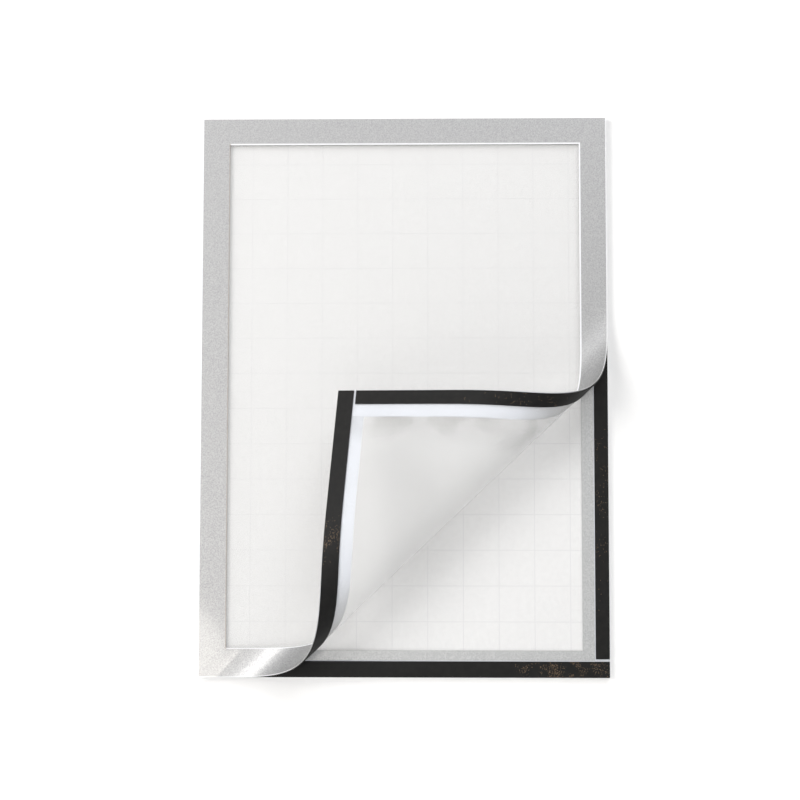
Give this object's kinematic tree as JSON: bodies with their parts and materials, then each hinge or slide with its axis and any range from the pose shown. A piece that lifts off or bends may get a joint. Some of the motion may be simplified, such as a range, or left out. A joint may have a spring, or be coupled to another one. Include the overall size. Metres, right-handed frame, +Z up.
{
  "type": "self-adhesive display frame",
  "caption": "Upright self-adhesive display frame with a silver border, a clear matte cover held by magnet strips, and one corner of the cover rolled back.",
  "frame": {"origin": "centre of the back face, on the wall", "axes": "+X to the right as the viewer sees it, +Y into the wall, +Z up; the frame faces -Y"},
  "size_m": [0.23, 0.0494, 0.317],
  "materials": {
    "liner": "smooth coated release paper with a faint grey square grid",
    "adhesive": "clear adhesive",
    "back_film": "clear film",
    "silver_border": "metallic silver film with a fine sparkle, white on its back and edges",
    "magnet_strip": "satin black flexible magnet",
    "hinge_tape": "white foam tape",
    "cover_film": "slightly matte clear film"
  },
  "bodies": {
    "root": {"release_liner": "liner", "adhesive_film": "adhesive", "back_panel": "back_film", "back_border": "silver_border", "base_magnet_bottom": "magnet_strip", "base_magnet_right": "magnet_strip", "base_magnet_top": "magnet_strip", "hinge_strip": "hinge_tape", "cover_magnet_bottom": "magnet_strip", "cover_magnet_right": "magnet_strip", "cover_magnet_top": "magnet_strip", "cover_window": "cover_film", "cover_border": "silver_border"}
  },
  "joints": []
}
